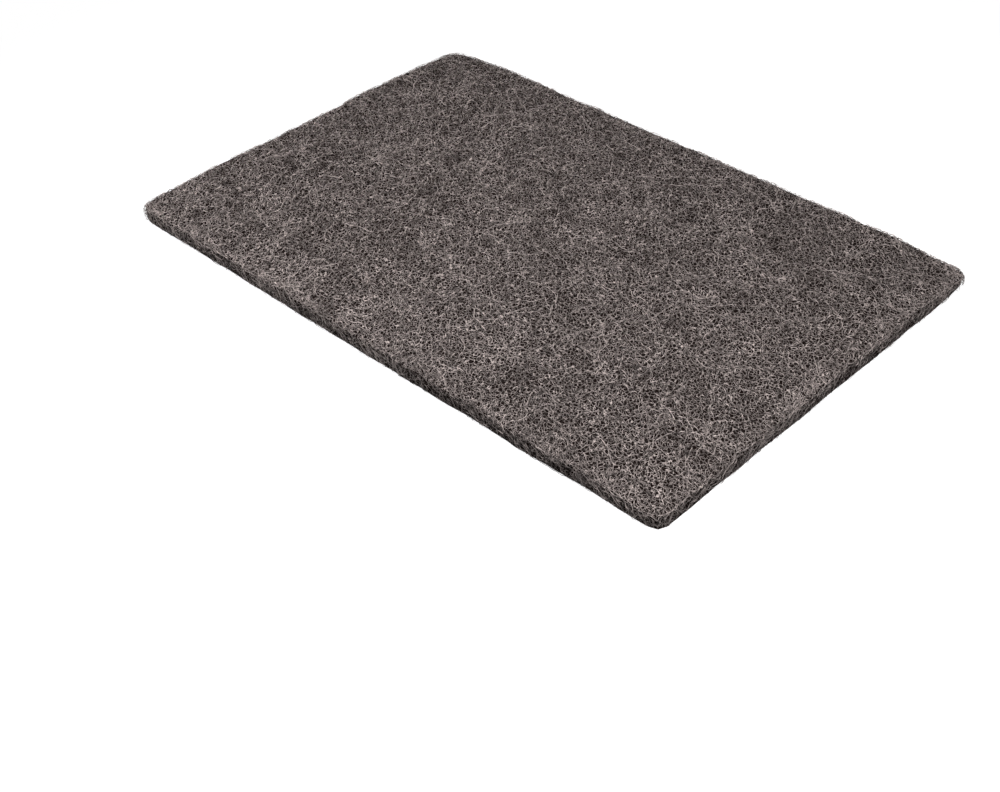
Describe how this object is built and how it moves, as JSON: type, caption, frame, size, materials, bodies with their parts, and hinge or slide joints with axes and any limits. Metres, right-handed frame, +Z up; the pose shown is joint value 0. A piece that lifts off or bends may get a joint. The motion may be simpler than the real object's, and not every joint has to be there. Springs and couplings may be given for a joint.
{
  "type": "abrasive hand pad",
  "caption": "Flat rectangular hand pad of lofty non-woven nylon fibre with soft rolled edges, for scuffing and finishing surfaces by hand.",
  "frame": {"origin": "centre of the flat underside", "axes": "+X along the long side, +Y along the short side, +Z up through the thickness"},
  "size_m": [0.229, 0.1532, 0.0069],
  "materials": {
    "web": "matt open web of crimped dark grey nylon fibres bonded with resin and fine grain"
  },
  "bodies": {
    "root": {"pad": "web"}
  },
  "joints": []
}
